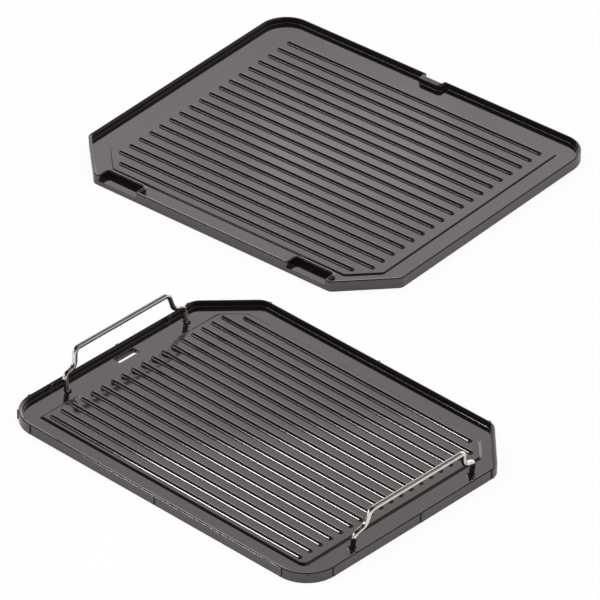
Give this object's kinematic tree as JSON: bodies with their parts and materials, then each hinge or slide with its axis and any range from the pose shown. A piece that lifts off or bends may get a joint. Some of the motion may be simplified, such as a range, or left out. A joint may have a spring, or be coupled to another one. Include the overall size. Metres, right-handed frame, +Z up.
{
  "type": "smokeless grill plate set",
  "caption": "Set of loose cast grill plates with raised ribs, gutters and a dark non-stick coating; the lower one has a grease slot and bent stainless wire handles that rock in their holes.",
  "frame": {"origin": "middle of the lower plate's underside, on the surface that both plates lie on", "axes": "+X along the lower plate's ribs towards its right handle, +Y towards its edge with the cut corners, +Z up"},
  "size_m": [0.5184, 0.5347, 0.0338],
  "materials": {
    "coating": "cast aluminium with a glossy dark grey non-stick coating",
    "stainless": "polished stainless wire",
    "spring_steel": "plain spring steel"
  },
  "bodies": {
    "lower_plate": {"lower_plate": "coating"},
    "upper_plate": {"upper_plate": "coating"},
    "left_handle": {"left_handle": "stainless", "left_front_washer": "spring_steel", "left_back_washer": "spring_steel"},
    "right_handle": {"right_handle": "stainless", "right_front_washer": "spring_steel", "right_back_washer": "spring_steel"}
  },
  "joints": [
    {"name": "left_handle_rock", "type": "hinge", "parent": "lower_plate", "child": "left_handle", "pos_m": [-0.13565, -0.002, 0.00305], "axis": [0, 1, 0], "range_deg": [0, 19]},
    {"name": "right_handle_rock", "type": "hinge", "parent": "lower_plate", "child": "right_handle", "pos_m": [0.13725, 0.0011, 0.00305], "axis": [0, -1, 0], "range_deg": [0, 19]},
    {"name": "upper_plate_lift", "type": "slide", "parent": "lower_plate", "child": "upper_plate", "axis": [0, 0, 1], "range_m": [0, 0.15]}
  ]
}
